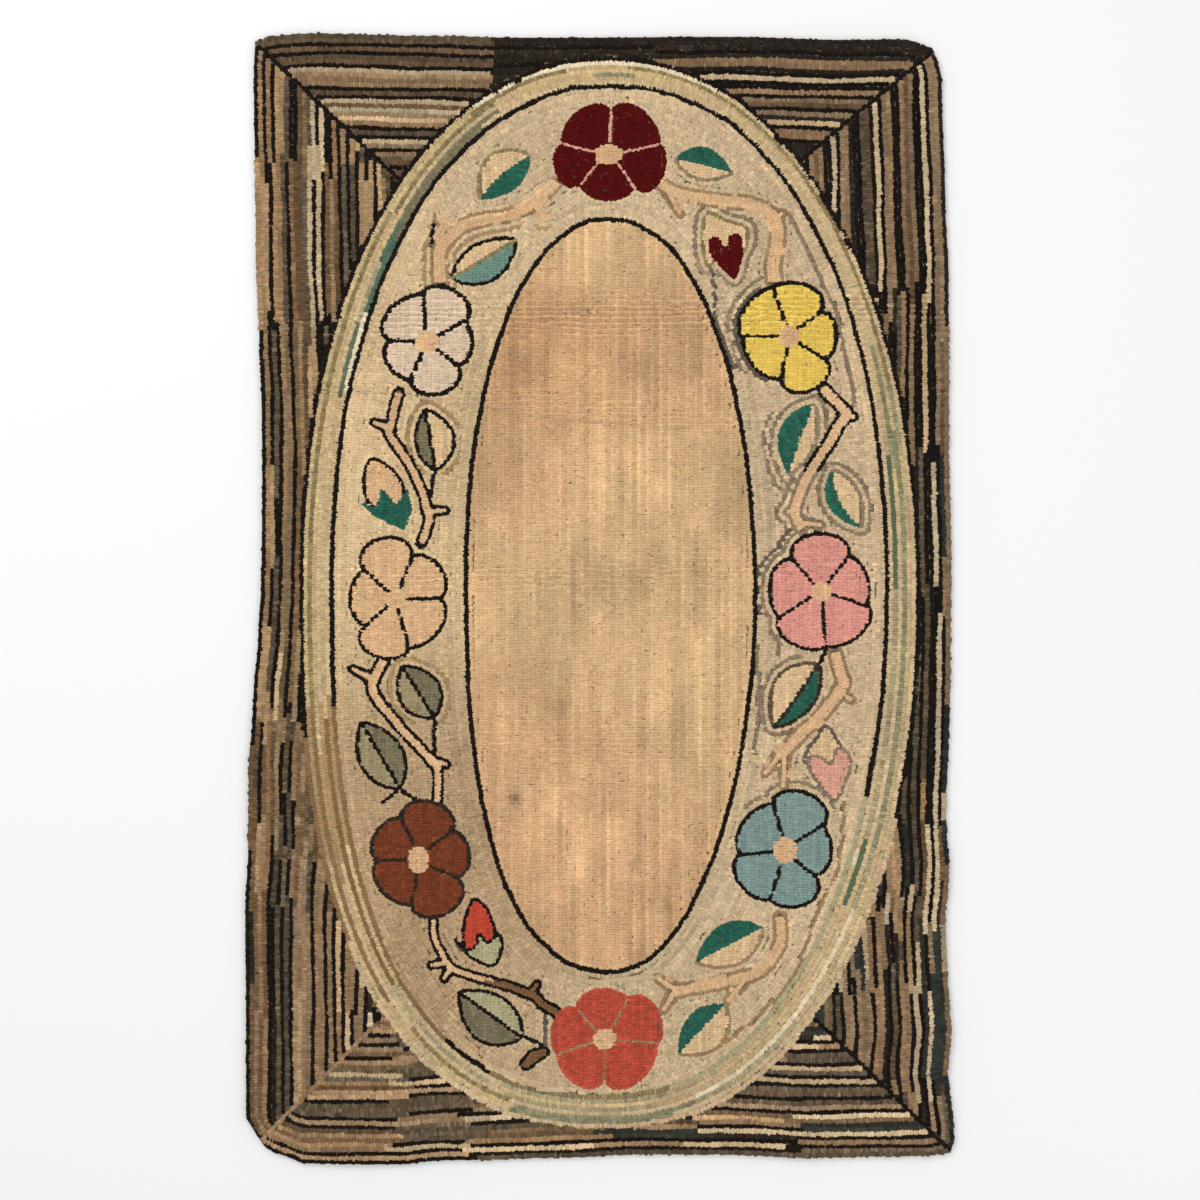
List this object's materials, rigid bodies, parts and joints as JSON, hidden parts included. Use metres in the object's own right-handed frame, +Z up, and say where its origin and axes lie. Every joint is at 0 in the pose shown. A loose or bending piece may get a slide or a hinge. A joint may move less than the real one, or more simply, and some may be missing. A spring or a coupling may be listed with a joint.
{
  "type": "hooked rug",
  "caption": "Flat hand-hooked wool rug with a striped mitred border, an oval band and a flower and leaf wreath round a plain oval field.",
  "frame": {"origin": "on the floor, under the middle of the rug", "axes": "+X across the rug to its right, +Y along the rug to its top edge, +Z up out of the pile"},
  "size_m": [0.913, 1.4558, 0.0112],
  "materials": {
    "wool_pile": "matt wool loops, hooked in many colours"
  },
  "bodies": {
    "root": {"hooked_rug": "wool_pile"}
  },
  "joints": []
}
